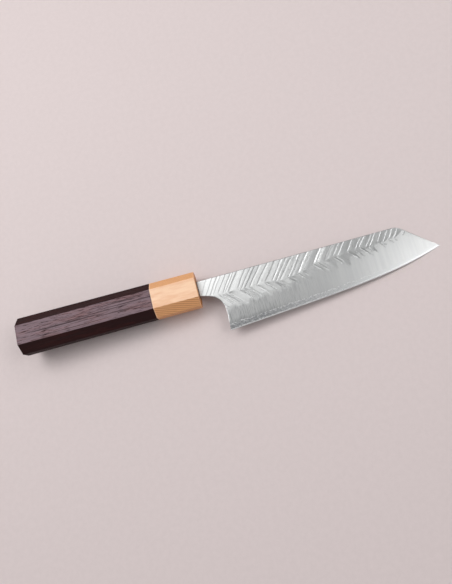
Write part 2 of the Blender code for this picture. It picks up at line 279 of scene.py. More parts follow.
# The dark lines between strokes are painted shade: the creases where two grooves meet, darkened in their
# colour.
LINE_SHADE_MARKS = ((0.45, 1.0), (0.2, 1.4))  # how dark the lines are among the upper strokes, and among the lower
WIDE_STROKE_X = 0.1010  # where one stroke fell flatter than the others
WIDE_WALL = 0.0020
DEEPEST = 0.00018
LOWER_SHARE = 1.60  # depth of the lower strokes against the upper ones
NECK_SHARE = 0.10  # how deep the upper strokes are at the neck, against the front half
LOWER_NECK_SHARE = 0.75  # the same of the lower strokes
FULL_DEPTH_X = 0.100
BOW = 0.000012  # unevenness of the steel between grooves
TURN_RUN = 0.0018  # over which a groove runs out at its turning point
FOOT_SHARE = 0.70  # depth of a lower stroke where it runs out on the bevel
FOOT_RUN = 0.0060
hammer_seeds = {RIGHT: 5, LEFT: 23}
levels = np.arange(-0.0320, 0.0090, 0.0004)  # heights at which the lines between strokes are drawn


def lay_strokes(side):
    """Strokes of one side: the lines between them, as one x for each height, and what makes each differ."""
    rng = np.random.default_rng(hammer_seeds[side])
    tops = [FIRST_STROKE_X]
    while tops[-1] < TIP_X:
        tops.append(tops[-1] + np.interp(tops[-1], *zip(*STROKE_WIDTHS)) * rng.uniform(*WIDTH_SPREAD))
    lines, turns = [], []
    for top_x in tops:
        upper_angle = np.interp(top_x, *zip(*UPPER_ANGLES)) + rng.uniform(-ANGLE_SPREAD, ANGLE_SPREAD)
        lower_angle = LOWER_ANGLE + rng.uniform(-ANGLE_SPREAD, ANGLE_SPREAD)
        upper_rise, lower_rise = math.tan(math.radians(upper_angle)), math.tan(math.radians(lower_angle))
        turn_y = np.interp(top_x - TURN_SETBACK, *zip(*TURNING_LINE)) + rng.uniform(-TURN_SPREAD, TURN_SPREAD)
        above = levels - turn_y
        line = top_x - (SPINE_HEIGHT - turn_y) / upper_rise
        line += np.where(above > 0, above / upper_rise, -above / lower_rise)
        line += WANDER * np.sin(levels / rng.uniform(*WANDER_PACE) + rng.uniform(0.0, 2 * math.pi))
        if lines:
            line = np.maximum(line, lines[-1] + LEAST_WIDTH)
        lines.append(line)
        turns.append(turn_y)
    count = len(tops)
    walls = rng.uniform(*STEEP_WALL, count)
    walls[np.abs(np.array(tops) - WIDE_STROKE_X).argmin()] = WIDE_WALL
    return SimpleNamespace(
        lines=np.array(lines),
        turns=np.array(turns),
        tops=np.array(tops),
        walls=walls,
        depths=np.minimum(STEEPNESS * walls * rng.uniform(*STEEPNESS_SPREAD, count), DEEPEST),
        reach=rng.uniform(*SLOW_WALL, count),
        tones=rng.uniform(0.0, 1.0, (2, count)),
        marks=np.array([rng.uniform(*span, count) for span in LINE_SHADE_MARKS]),
        bow=BOW * rng.uniform(-1.0, 1.0, count),
    )


def stroke_at(x, y, strokes):
    """Which stroke each place lies in, its width there, how far across it is, and how far above its turn."""
    line_x = np.array([np.interp(y, levels, line) for line in strokes.lines])
    which = np.clip((line_x <= x).sum(axis=0) - 1, 0, len(line_x) - 2)
    place = np.arange(len(x))
    left, width = line_x[which, place], line_x[which + 1, place] - line_x[which, place]
    share = limited((x - left) / width)
    turns = strokes.turns
    return which, width, share, y - (turns[which] * (1 - share) + turns[which + 1] * share)


def dent(x, y, strokes):
    """Depth of the hammered surface below the plain cheek."""
    x, y = np.atleast_1d(x), np.atleast_1d(y)
    which, width, share, above = stroke_at(x, y, strokes)
    foot = FOOT_SHARE + (1 - FOOT_SHARE) * limited((y - grind_y(x)) / FOOT_RUN)
    depth = strokes.depths[which] * np.where(above > 0, 1.0, LOWER_SHARE * foot)
    at_neck = np.where(above > 0, NECK_SHARE, LOWER_NECK_SHARE)
    depth *= at_neck + (1 - at_neck) * limited(x / FULL_DEPTH_X)
    depth *= 1 - (1 - limited(np.abs(above) / TURN_RUN)) ** 2
    wall = np.minimum(strokes.walls[which] / width, WIDEST_WALL)
    down = limited(share / wall)
    rise = limited((share - wall) / np.maximum(strokes.reach[which] - wall, LEAST_RISE))
    groove = down**2 * (3 - 2 * down) * (1 - rise) ** 1.5
    return depth * groove + strokes.bow[which] * np.sin(math.pi * share) ** 2


def hammered_z(x, y, strokes):
    return cheek_z(x, y) - dent(x, y, strokes)


# Layer meshes: one fine net of triangles for what shows on each side, with the lines between strokes, the
# border of the bevel and the wavy line as its edges, and a coarse one for the faces between the layers.
LONG_STEP = 0.00036  # between points along a stroke
CROSS_STEP = 0.00042
BEVEL_STEP = 0.0011
# The dark lines between strokes are painted shade in the creases where two grooves meet.
SHADE_LINE_WIDTH = 0.00032  # of the dark line between two strokes
LOWER_SHADE_LINE_WIDTH = 0.00075
EASED_RUN = 0.00030  # how far the polished edges of spine and choil are eased
EASED_DEPTH = 0.00010
EASED_SHARE = 0.4  # the most of a layer's thickness that easing takes
ROWS_ON_BEVEL = 3  # points of a stroke's line below the bevel's border
CLEAR_OF_RIM = 1.1 * EASED_RUN
BORDER_STEP = 4 * CROSS_STEP  # longest edge along the bevel's border
BORDER_GAP = 3.6 * LONG_STEP
LINE_GAP = 0.0004  # least distance of the bevel's own points from the wavy line
STROKE_GAP = 0.0008  # the same of the strokes' points
RING_GAP = 0.0002  # the same of the eased rims' points
EDGE_GAP = 0.0003  # of the bevel's points from the sharpened bevel
RIM_GAP = 0.0006  # of the bevel's points from the outline
TIP_GAP = 0.0010
NECK_ROOM = 0.0010  # behind the heel's front, where no bevel is ground
UNEASED = 0.0003  # so near the wavy line, nothing is eased
ROW_GAP = 0.00025
BEVEL_ROWS = 0.87 * BEVEL_STEP  # between rows of even triangles
HIDDEN_STEP = 0.0050
CRISP_ANGLE = math.radians(32)  # sharper folds aren't shaded smooth
FINISH_BLEND = 0.000016  # depth over which the hammered finish gives way to the ground one


def stroke_points(strokes):
    """Points of the hammered zone, the edges that its net keeps, and the border where the bevel starts."""
    points, kept, border = [], [], []
    lines, tops = strokes.lines, strokes.tops
    for number, (near, far) in enumerate(zip(lines, lines[1:])):
        width = tops[number + 1] - tops[number]
        wall = min(strokes.walls[number] / width, WIDEST_WALL)
        slow = np.linspace(wall, 1.0, max(round((1 - wall) * width / CROSS_STEP), 3) + 1)[:-1]
        for i, share in enumerate((0.0, wall / 2, *slow)):
            ys = np.arange(SPINE_HEIGHT + SPINE_RISE - EASED_RUN, levels[0], -LONG_STEP)
            xs = np.interp(ys, levels, near * (1 - share) + far * share)
            spare = bevel_z(xs, ys) - hammered_z(xs, ys, strokes)
            under = np.flatnonzero((spare[:-1] > 0) & (spare[1:] <= 0))
            if len(under):
                j = under[0]
                part = spare[j] / (spare[j] - spare[j + 1])
                for row in (ys, xs):
                    row[j] += part * (row[j + 1] - row[j])
                ys, xs = (np.delete(row, j + 1)[: j + 1 + ROWS_ON_BEVEL] for row in (ys, xs))
            good = inside_gap(np.column_stack([xs, ys])) > CLEAR_OF_RIM
            good &= ys > wavy_y(xs, RIGHT) + STROKE_GAP
            numbers = np.where(good, len(points) + np.cumsum(good) - 1, -1)
            points += [(x, y) for x, y, ok in zip(xs, ys, good) if ok]
            if i in (0, 2):
                kept += [(a, b) for a, b in zip(numbers, numbers[1:]) if a >= 0 and b >= 0]
            if len(under) and numbers[j] >= 0:
                border.append(int(numbers[j]))
    kept += [(a, b) for a, b in zip(border, border[1:]) if math.dist(points[a], points[b]) < BORDER_STEP]
    return np.array(points), kept, np.array([points[i] for i in border])


def inset(step, first, last):
    """Points a little inside a stretch of the outline."""
    numbers = np.arange(first, last)
    run = outline[(numbers + 1) % len(outline)] - outline[numbers - 1]
    inward = np.column_stack([run[:, 1], -run[:, 0]]) / np.hypot(*run.T)[:, None]
    points = outline[numbers] + inward * step
    return points[inside_gap(points) > 0.85 * step]


def inner_faces(faces, ring):
    """Triangles inside a closed ring of points that runs clockwise, found by leaving out all beyond it."""
    owner = {}
    for number, face in enumerate(faces):
        for a, b in zip(face, (*face[1:], face[0])):
            owner[a, b] = number
    fence = set(zip(ring, ring[1:] + ring[:1]))
    spread = [owner[edge] for edge in fence if edge in owner]
    beyond = set(spread)
    while spread:
        face = faces[spread.pop()]
        for a, b in zip(face, (*face[1:], face[0])):
            neighbour = owner.get((b, a))
            if neighbour is not None and neighbour not in beyond and not {(a, b), (b, a)} & fence:
                beyond.add(neighbour)
                spread.append(neighbour)
    return [face for number, face in enumerate(faces) if number not in beyond]


def side_net(side, strokes):
    """Net of one side: points, triangles over and under the wavy line, and the line's own points in order."""
    loop = len(outline)
    hammer, kept, border = stroke_points(strokes)
    spans = ((4, edge_start), (edge_stop, edge_stop + len(front_line) - 1))
    rings = [inset(step, *span) for step in (0.4 * EASED_RUN, EASED_RUN) for span in spans]
    rings = [ring[np.abs(ring[:, 1] - wavy_y(ring[:, 0], side)) > RING_GAP] for ring in rings]
    line_x = np.arange(heel_end[0] + FINE_STEP, tip_end[0] - FINE_STEP / 2, FINE_STEP)
    wavy = np.column_stack([line_x, wavy_y(line_x, side)])
    low_x = np.arange(HEEL_X + EDGE_STEP, TIP_X - TIP_GAP, EDGE_STEP)
    low_rows = [np.column_stack([low_x, edge_y(low_x) + rise]) for rise in (EDGE_WIDTH, EDGE_WIDTH / 2)]
    low_rows = [row[inside_gap(row) > ROW_GAP] for row in low_rows]
    x, y = np.meshgrid(np.arange(HEEL_X, TIP_X, BEVEL_STEP), np.arange(-HEEL_DROP, SPINE_HEIGHT, BEVEL_ROWS))
    x[::2] += BEVEL_STEP / 2
    x, y = x.ravel(), y.ravel()
    border = border[border[:, 0].argsort()]
    good = y < np.interp(x, *border.T) - BORDER_GAP
    good &= y > edge_y(x) + EDGE_WIDTH + EDGE_GAP
    good &= np.abs(y - wavy_y(x, side)) > LINE_GAP
    bevel = np.column_stack([x, y])[good]
    bevel = bevel[inside_gap(bevel) > RIM_GAP]
    groups = [outline, hammer, wavy, *low_rows, bevel, *rings]
    starts = np.cumsum([0, *map(len, groups)]).tolist()
    chain = [line_ends[0], *range(starts[2], starts[3]), line_ends[1]]
    edges = [(i, (i + 1) % loop) for i in range(loop)]
    edges += [(loop + a, loop + b) for a, b in kept]
    edges += list(zip(chain, chain[1:]))
    edges += [(i, i + 1) for i in range(starts[3], starts[4] - 1)]
    vectors = [Vector(point) for point in np.concatenate(groups)]
    found, _, faces, origin, _, _ = delaunay_2d_cdt(vectors, edges, [], 1, 1e-7, True)
    old = {names[0]: i for i, names in enumerate(origin) if names}
    new = [old[i] for i in range(len(vectors))] + [i for i, names in enumerate(origin) if not names]
    number = {now: i for i, now in enumerate(new)}
    points = np.array([found[i][:] for i in new])
    faces = np.array(inner_faces([[number[i] for i in face] for face in faces], list(range(loop))))
    middles = points[faces].mean(axis=1)
    heights = np.interp(middles[:, 0], *points[chain].T)
    over = (middles[:, 1] > heights) | (middles[:, 0] < HEEL_X)
    return SimpleNamespace(
        side=side,
        strokes=strokes,
        points=points,
        over=faces[over],
        under=faces[~over],
        chain=chain,
        border=border,
    )


# Points of the outline above the two ends of the wavy line, in order round the blade
upper_arc = [*range(line_ends[0], len(outline)), *range(line_ends[1] + 1)]
nets = {side: side_net(side, lay_strokes(side)) for side in (RIGHT, LEFT)}


def hidden_net(net):
    """Coarse triangles above the wavy line, as keys of points: numbers in the net, or places of their own."""
    keys = upper_arc + net.chain[1:-1][::-1]
    loop = len(keys)
    row_x = np.arange(HEEL_X + CORE_SPREAD, tip_end[0] - TIP_ROOM, HIDDEN_STEP)
    keys += [(x, y) for x, y in zip(row_x, wavy_y(row_x, net.side) + CORE_SPREAD)]
    vectors = [Vector(key) if isinstance(key, tuple) else Vector(net.points[key]) for key in keys]
    ring = [(i, (i + 1) % loop) for i in range(loop)]
    _, _, faces, origin, _, _ = delaunay_2d_cdt(vectors, ring, [], 1, 1e-7, True)
    faces = inner_faces([[origin[i][0] for i in face] for face in faces], list(range(loop)))
    return [[keys[i] for i in face] for face in faces]


def place(name, data):
    """Puts a new object into the scene."""
    made = bpy.data.objects.new(name, data)
    bpy.context.scene.collection.objects.link(made)
    return made


class Layer:
    """Points and faces of one steel layer, where points are asked for by a key and made once."""

    def __init__(self):
        self.places, self.faces, self.numbers = [], [], {}

    def point(self, key, x, y, z):
        if key not in self.numbers:
            self.numbers[key] = len(self.places)
            self.places.append((x, y, z))
        return self.numbers[key]

    def hidden(self, net, key):
        """Point where core and outer layer meet above the wavy line."""
        side = net.side
        x, y = key if isinstance(key, tuple) else net.points[key]
        return self.point((side, "in", key), x, y, side * float(interface_z(x, y, side)))

    def object(self, name):
        """Object, laid down with the frame, with outward normals and crisp edges."""
        mesh = bpy.data.meshes.new(name)
        mesh.from_pydata(self.places, [], self.faces)
        shape = bmesh.new()
        shape.from_mesh(mesh)
        bmesh.ops.recalc_face_normals(shape, faces=shape.faces)
        shape.to_mesh(mesh)
        shape.free()
        mesh.transform(knife_place)
        mesh.shade_smooth()
        mesh.set_sharp_from_angle(angle=CRISP_ANGLE)
        return place(name, mesh)


def store(piece, **numbers):
    """Gives each point of a piece some numbers, which its material reads."""
    for name, values in numbers.items():
        made = piece.data.attributes.new(name, "FLOAT", "POINT")
        made.data.foreach_set("value", np.asarray(values, np.float32))


def outer_z(net):
    """Height of the net's points out of the blade's middle plane."""
    x, y = net.points.T
    struck = hammered_z(x, y, net.strokes)
    plain = np.where(x < HEEL_X - NECK_ROOM, struck, np.minimum(struck, bevel_z(x, y)))
    eased = limited(1 - inside_gap(net.points) / EASED_RUN) ** 2
    eased[edge_start : edge_stop + 1] = 0.0
    spare = np.maximum(plain - interface_z(x, y, net.side), 0.0)
    at_line = np.abs(y - wavy_y(x, net.side)) < UNEASED
    deep = np.where(at_line, 0.0, np.minimum(EASED_DEPTH, EASED_SHARE * spare))
    return plain - eased * deep


def cladding(name, net):
    """Outer layer of one side: the net above the wavy line, and the hidden face that lies on the core."""
    side, xy, top = net.side, net.points, outer_z(net)
    layer = Layer()
    on_line = set(net.chain)

    def outside(i):
        return layer.point(("out", i), *xy[i], side * top[i])

    def inside(key):
        return outside(key) if key in on_line else layer.hidden(net, key)

    layer.faces += [[outside(i) for i in face] for face in net.over.tolist()]
    layer.faces += [[inside(key) for key in face] for face in hidden_net(net)]
    for a, b in zip(upper_arc, upper_arc[1:]):
        rim = [outside(a), outside(b), inside(b), inside(a)]
        layer.faces.append(list(dict.fromkeys(rim)))
    piece = layer.object(name)
    x, y, _ = np.array(layer.places).T
    strokes = net.strokes
    spare = bevel_z(x, y) - hammered_z(x, y, strokes)
    which, width, share, above = stroke_at(x, y, strokes)
    nearest = np.where(share > 0.5, which + 1, which)
    # Painted shade in the creases between strokes, fading out where the grooves run out at their turns.
    crease_shade = limited(np.where(above > 0, *strokes.marks[:, nearest])) * limited(np.abs(above) / TURN_RUN)
    shade_line_width = np.where(above > 0, SHADE_LINE_WIDTH, LOWER_SHADE_LINE_WIDTH)
    store(
        piece,
        hammered=np.where(x < HEEL_X, 1.0, limited(0.5 + spare / FINISH_BLEND)),
        above_border=np.where(x < HEEL_X, 0.02, y - np.interp(x, *net.border.T)),
        above_line=y - wavy_y(x, side),
        from_outline=np.abs(inside_gap(np.column_stack([x, y]))),
        across_strokes=strokes.tops[which] * (1 - share) + strokes.tops[which + 1] * share,
        along_stroke=np.abs(above),
        stroke_tone=np.where(above > 0, *strokes.tones[:, which]),
        stroke_line=crease_shade * limited(1 - np.minimum(share, 1 - share) * width / shade_line_width),
    )
    return piece


right_cladding = cladding("hammered_cladding_right", nets[RIGHT])
left_cladding = cladding("hammered_cladding_left", nets[LEFT])


def core():
    """Middle layer: hidden between the others, and ground to the edge below their wavy lines."""
    layer = Layer()
    tops = {side: outer_z(net) for side, net in nets.items()}
    chains = {side: set(net.chain) for side, net in nets.items()}

    def below(side, i):
        xy = nets[side].points[i]
        if edge_start <= i <= edge_stop:
            return layer.point(("edge", i), *xy, 0.0)
        return layer.point((side, i), *xy, side * tops[side][i])

    def above(side, key):
        return below(side, key) if key in chains[side] else layer.hidden(nets[side], key)

    for side, net in nets.items():
        layer.faces += [[below(side, i) for i in face] for face in net.under.tolist()]
        layer.faces += [[above(side, key) for key in face] for face in hidden_net(net)]
    for a, b in zip(upper_arc, upper_arc[1:]):
        layer.faces.append([above(RIGHT, a), above(RIGHT, b), above(LEFT, b), above(LEFT, a)])
    for first, last in ((line_ends[1], edge_start), (edge_stop, line_ends[0])):
        for a in range(first, last):
            rim = [below(RIGHT, a), below(RIGHT, a + 1), below(LEFT, a + 1), below(LEFT, a)]
            layer.faces.append(list(dict.fromkeys(rim)))
    piece = layer.object("edge_core")
    x, y, z = np.array(layer.places).T
    lines = np.where(z > 0, wavy_y(x, RIGHT), wavy_y(x, LEFT))
    store(piece, above_edge=y - edge_y(x), above_line=y - lines)
    return piece


edge_core = core()
for piece, node_name, slot in (
    (right_cladding, "right_cladding", "soft_steel"),
    (left_cladding, "left_cladding", "soft_steel"),
    (edge_core, "core_steel", "hard_steel"),
):
    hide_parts(node_name)
    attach(piece, "root")


# Steel finish: the outer layers are blasted matt where they are hammered and finely ground across the
# bevel. The core is ground with them, and polishing has brought out its darker, speckled body; its white
# flecks are partly painted glints.
def add(tree, kind, feeds=None, **options):
    """Adds a shader node, sets its options, and joins or sets its inputs."""
    made = tree.nodes.new("ShaderNode" + kind)
    for name, value in options.items():
        setattr(made, name, value)
    for name, value in (feeds or {}).items():
        if isinstance(value, bpy.types.NodeSocket):
            tree.links.new(value, made.inputs[name])
        else:
            made.inputs[name].default_value = value
    return made


def ramp(value, low, high, to_low=0.0, to_high=1.0):
    """Where a value stands between two others, smoothly."""
    feeds = {0: value, 1: low, 2: high, 3: to_low, 4: to_high}
    return add(value.id_data, "MapRange", feeds, interpolation_type="SMOOTHSTEP").outputs[0]


def sums(operation, *terms):
    tree = next(term.id_data for term in terms if isinstance(term, bpy.types.NodeSocket))
    return add(tree, "Math", dict(enumerate(terms)), operation=operation).outputs[0]


def product(made, *factors):
    for factor in factors:
        made = sums("MULTIPLY", made, factor)
    return made


def blend(share, first, second):
    """Number between two others."""
    return add(share.id_data, "Mix", {0: share, 2: first, 3: second}).outputs[0]


def tint(share, first, second):
    """Colour between two others."""
    return add(share.id_data, "Mix", {0: share, 6: first, 7: second}, data_type="RGBA").outputs[2]


def coats(tone, *others):
    """Colour with others laid over it in turn, each as (share, colour)."""
    for share, other in others:
        tone = tint(share, tone, other)
    return tone


def colour(red, green, blue):
    return (red, green, blue, 1.0)


def stored(tree, name):
    return add(tree, "Attribute", attribute_name=name).outputs["Fac"]


def stretched(position, scale):
    return add(position.id_data, "VectorMath", {0: position, 1: scale}, operation="MULTIPLY").outputs[0]


def dot(first, second):
    return add(first.id_data, "VectorMath", {0: first, 1: second}, operation="DOT_PRODUCT").outputs["Value"]


def speckle(position, scale, detail=2.0, roughness=0.5):
    """Even noise from 0 to 1, with one scale in features per metre, or one for each axis."""
    if isinstance(scale, tuple):
        position, scale = stretched(position, scale), 1.0
    feeds = {"Vector": position, "Scale": scale, "Detail": detail, "Roughness": roughness}
    return add(position.id_data, "TexNoise", feeds).outputs["Fac"]


def knife_position(tree):
    """Position in the knife's axes, where a piece's own position is the room's."""
    turned = knife_place.inverted()
    feeds = {"Vector": add(tree, "TexCoord").outputs["Object"]}
    feeds |= {"Location": turned.to_translation(), "Rotation": turned.to_euler()}
    return add(tree, "Mapping", feeds).outputs[0]


def fresh_material(name):
    made = bpy.data.materials.new(name)
    made.use_nodes = True
    return made, made.node_tree, made.node_tree.nodes["Principled BSDF"]


def dress(shader, tone, rough, relief, depth, strength=1.0):
    """Joins a material's colour, roughness and fine relief to its shader."""
    bump = add(shader.id_data, "Bump", {"Strength": strength, "Distance": depth, "Height": relief})
    for name, value in (("Base Color", tone), ("Roughness", rough), ("Normal", bump.outputs[0])):
        shader.id_data.links.new(value, shader.inputs[name])


def fresh_group(name, inputs, outputs):
    """Node group with the given number or vector inputs and number outputs."""
    made = bpy.data.node_groups.new(name, "ShaderNodeTree")
    for label, kind in inputs:
        made.interface.new_socket(label, in_out="INPUT", socket_type=kind)
    for label in outputs:
        made.interface.new_socket(label, in_out="OUTPUT", socket_type=NUMBER)
    return made, made.nodes.new("NodeGroupInput").outputs, made.nodes.new("NodeGroupOutput").inputs


NUMBER, VECTOR = "NodeSocketFloat", "NodeSocketVector"
GRIND_PACE = 2600.0  # grinding lines in a metre
grind_lines, given, result = fresh_group(
    "grind_lines", [("Position", VECTOR), ("Length Share", NUMBER)], ["Lines", "Bands"]
)
along = product(given["Length Share"], GRIND_PACE)
lined = add(grind_lines, "CombineXYZ", {0: GRIND_PACE, 1: along, 2: along}).outputs[0]
lined = stretched(given["Position"], lined)
grind_lines.links.new(speckle(lined, 1.0, 3.0, 0.6), result["Lines"])
grind_lines.links.new(speckle(lined, 0.16), result["Bands"])


def ground_lines(position, length_share):
    """Fine lines across the blade, and broad pale and dark bands of them."""
    feeds = {"Position": position, "Length Share": length_share}
    return add(position.id_data, "Group", feeds, node_tree=grind_lines).outputs


STRUCK_PALE = colour(0.67, 0.675, 0.67)
STRUCK_WORN = colour(0.42, 0.425, 0.425)
STRUCK_GREY = colour(0.47, 0.475, 0.475)
STRUCK_DARK = colour(0.17, 0.175, 0.18)
GROUND_PALE = colour(0.615, 0.62, 0.615)
GROUND_GREY = colour(0.575, 0.58, 0.58)
GROUND_DARK = colour(0.27, 0.275, 0.28)
GROUND_BLEND = colour(0.86, 0.865, 0.86)
BLAST_GRAINS = 2300.0  # grains of the blasted finish in a metre
STROKE_STREAKS = (2300.0, 170.0, 1.0)  # drawn lines in a metre, across and along a stroke
BLEND_RUN = 0.0030  # how far the bevel's top is brighter, near the heel
DIM_RUN = 0.0035  # how far the bevel is darker above the wavy line, near the heel
# The dark line along the eased spine is painted shade, where its rounded edge reflects little light.
SPINE_SHADE_RIM = 0.00045  # width of the dark line that the eased spine shows
soft_steel, tree, shader = fresh_material("hammered_soft_steel")
position = knife_position(tree)
from_neck, spineward, _ = add(tree, "SeparateXYZ", {0: position}).outputs
hammered, above_border = stored(tree, "hammered"), stored(tree, "above_border")
lines, bands = ground_lines(position, 0.035)
grain = speckle(position, BLAST_GRAINS, 5.0, 0.65)
clouds = speckle(position, 420.0, 3.0, 0.6)
drawn = {0: stored(tree, "across_strokes"), 1: stored(tree, "along_stroke")}
drawn = speckle(add(tree, "CombineXYZ", drawn).outputs[0], STROKE_STREAKS, 3.0, 0.6)
in_front = ramp(from_neck, 0.015, 0.085, 0.25, 1.0)
# Near the bevel's front border the pits are darkened in colour: painted shade, for the dark reflection of
# their tilted faces.
pits_painted_shade = product(
    ramp(above_border, -0.0045, -0.0005),
    ramp(from_neck, 0.100, 0.120, 0.0, 0.6),
    ramp(grain, 0.50, 0.66),
)
streaked = product(ramp(from_neck, 0.035, 0.110, 0.74, 0.06), ramp(lines, 0.46, 0.66))
dimmed = product(
    ramp(stored(tree, "above_line"), 0.0, DIM_RUN, 0.45, 0.0),
    ramp(from_neck, 0.040, 0.068, 1.0, 0.0),
)
blended = product(ramp(above_border, -BLEND_RUN, 0.0), ramp(from_neck, 0.045, 0.085, 0.45, 0.0))
ground_tone = coats(
    tint(ramp(bands, 0.32, 0.68), GROUND_GREY, GROUND_PALE),
    (pits_painted_shade, GROUND_DARK),
    (streaked, GROUND_DARK),
    (dimmed, GROUND_DARK),
    (blended, GROUND_BLEND),
)
toned = product(stored(tree, "stroke_tone"), ramp(from_neck, 0.012, 0.050, 0.25, 1.0))
worn = product(ramp(above_border, 0.0060, 0.0100, 1.0, 0.0), ramp(from_neck, 0.035, 0.100, 0.26, 0.08))
# Painted shade in the creases between strokes.
lined = product(stored(tree, "stroke_line"), ramp(from_neck, 0.030, 0.085, 0.80, 0.60))
# The same painted shade on the pits just above the bevel's border.
pits_painted_shade = product(
    ramp(above_border, 0.0002, 0.0024, 0.6, 0.0),
    ramp(from_neck, 0.100, 0.125),
    ramp(grain, 0.44, 0.60),
)
struck_tone = coats(
    tint(ramp(from_neck, 0.092, 0.118), STRUCK_PALE, STRUCK_WORN),
    (toned, STRUCK_GREY),
    (product(ramp(clouds, 0.45, 0.75), in_front), STRUCK_GREY),
    (product(ramp(drawn, 0.54, 0.70, 0.0, 0.35), in_front), STRUCK_DARK),
    (worn, GROUND_BLEND),
    (lined, STRUCK_DARK),
    (pits_painted_shade, STRUCK_DARK),
)
# Painted shade along the eased spine.
spine_rim_shade = product(
    ramp(spineward, 0.0030, 0.0050),
    ramp(stored(tree, "from_outline"), 0.0, SPINE_SHADE_RIM, 0.9, 0.0),
)
tone = tint(spine_rim_shade, tint(hammered, ground_tone, struck_tone), STRUCK_DARK)
ground_rough = sums("MULTIPLY_ADD", lines, 0.16, 0.24)
struck_rough = sums("MULTIPLY_ADD", grain, 0.16, 0.23)
struck_relief = sums("MULTIPLY_ADD", grain, 0.4, product(drawn, product(in_front, 0.8)))
relief = blend(hammered, product(lines, 0.12), struck_relief)
dress(shader, tone, blend(hammered, ground_rough, struck_rough), relief, 0.00003)
shader.inputs["Metallic"].default_value = 1.0

CORE_PALE = colour(0.62, 0.625, 0.63)
CORE_GREY = colour(0.46, 0.465, 0.475)
CORE_DARK = colour(0.27, 0.275, 0.285)
CORE_FLECK_GLINTS = colour(0.97, 0.97, 0.97)
CORE_LIKE_BEVEL = colour(0.585, 0.59, 0.59)
# Tones of the sharpened bevel: a painted highlight at the heel and a painted darker tone towards the tip.
EDGE_PAINTED_HIGHLIGHT = colour(0.95, 0.95, 0.95)
EDGE_PAINTED_DIM = colour(0.43, 0.435, 0.44)
FLECK_RUN = 0.00080  # how far from the wavy line its white flecks lie
hard_steel, tree, shader = fresh_material("polished_core_steel")
position = knife_position(tree)
from_neck = add(tree, "SeparateXYZ", {0: position}).outputs[0]
lines = ground_lines(position, 0.06)["Lines"]
clouds = speckle(position, (500.0, 900.0, 500.0), 4.0, 0.65)
flecks = speckle(position, (850.0, 1700.0, 900.0))
above_edge = stored(tree, "above_edge")
below_line = product(stored(tree, "above_line"), -1.0)
dark_share = product(ramp(from_neck, 0.030, 0.090, 0.95, 0.0), ramp(clouds, 0.66, 0.46))
near_line = ramp(below_line, 0.0, FLECK_RUN, 1.0, 0.15)
near_edge = ramp(above_edge, EDGE_WIDTH, EDGE_WIDTH + FLECK_RUN, 1.0, 0.0)
# The white flecks are partly the core's speckle and partly painted glints, also as a dotted line along the
# edge in the rear half.
fleck_glint_share = product(
    sums("MAXIMUM", near_line, near_edge),
    ramp(flecks, 0.44, 0.56),
    ramp(from_neck, 0.080, 0.150, 1.0, 0.0),
)
# The sharpened bevel's tone is painted light, running from the painted highlight at the heel to darker
# towards the tip.
sharpened = ramp(above_edge, EDGE_WIDTH, EDGE_WIDTH + 0.0001, 1.0, 0.0)
tone = coats(
    tint(ramp(clouds, 0.38, 0.62), CORE_GREY, CORE_PALE),
    (dark_share, CORE_DARK),
    (ramp(from_neck, 0.070, 0.125), CORE_LIKE_BEVEL),
    (fleck_glint_share, CORE_FLECK_GLINTS),
    (sharpened, tint(ramp(from_neck, 0.050, 0.130), EDGE_PAINTED_HIGHLIGHT, EDGE_PAINTED_DIM)),
)
relief = sums("ADD", product(lines, 0.2), product(flecks, 0.3))
dress(shader, tone, sums("MULTIPLY_ADD", clouds, 0.14, 0.24), relief, 0.00002)
shader.inputs["Metallic"].default_value = 1.0

for piece, finish in ((right_cladding, soft_steel), (left_cladding, soft_steel), (edge_core, hard_steel)):
    piece.data.materials.append(finish)


# Neck seal and tang bedding: dark resin. It was poured round the tang in its mortise, and a bead of it
# closes the ferrule's mouth round the neck.
RESIN_DARK = colour(0.010, 0.009, 0.009)
RESIN_DUSTY = colour(0.040, 0.034, 0.031)
dark_resin, tree, shader = fresh_material("dark_resin")
position = knife_position(tree)
dust = speckle(position, 1800.0, 4.0, 0.6)
swirl = speckle(position, 350.0)
tone = tint(ramp(dust, 0.45, 0.80), RESIN_DARK, RESIN_DUSTY)
dress(shader, tone, ramp(swirl, 0.3, 0.7, 0.38, 0.58), dust, 0.00004, 0.6)
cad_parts["tang_bedding"].material_slots[0].material = dark_resin

NECK_GAP = 0.00002
SEAL_REACH = 0.00110  # from the neck's faces to the mouth's wall
SEAL_CORNER = 0.00022
SEAL_WAVE = 0.00003
SEAL_PACE = (0.0011, 0.0007, 0.0029)  # of its waves: along y and z, and a slower one along y
SEAL_BACK = -0.0077
BEAD_PROFILE = (  # (share of the reach, x), from the neck to the mouth's wall
    (0.00, SEAL_BACK), (0.00, 0.00046), (0.12, 0.00043), (0.30, 0.00034), (0.52, 0.00025),
    (0.74, 0.00018), (0.90, 0.00010), (0.98, -0.00003), (1.00, -0.00030), (1.00, SEAL_BACK),
)


def bead_loop(reach, long_side=28, short_side=7, arc=5):
    """Rounded rectangle round the neck at a given distance from its faces, as (y, z) points."""
    half_y = (SPINE_HEIGHT + NECK_DROP) / 2 + NECK_GAP + reach
    half_z = STOCK_THICKNESS / 2 + NECK_GAP + reach
    points = []
    for turn, (sign_y, sign_z) in enumerate(((1, 1), (-1, 1), (-1, -1), (1, -1))):
        centre = Vector((sign_y * (half_y - SEAL_CORNER), sign_z * (half_z - SEAL_CORNER)))
        for i in range(arc):
            angle = math.pi / 2 * (turn + i / (arc - 1))
            points.append(centre + SEAL_CORNER * Vector((math.cos(angle), math.sin(angle))))
        straight = long_side if turn % 2 == 0 else short_side
        run = 2 * ((half_y if turn % 2 == 0 else half_z) - SEAL_CORNER)
        ahead = Vector((-math.sin(angle), math.cos(angle)))
        points += [points[-1] + ahead * run * (i / straight) for i in range(1, straight)]
    return [(y + (SPINE_HEIGHT - NECK_DROP) / 2, z) for y, z in points]


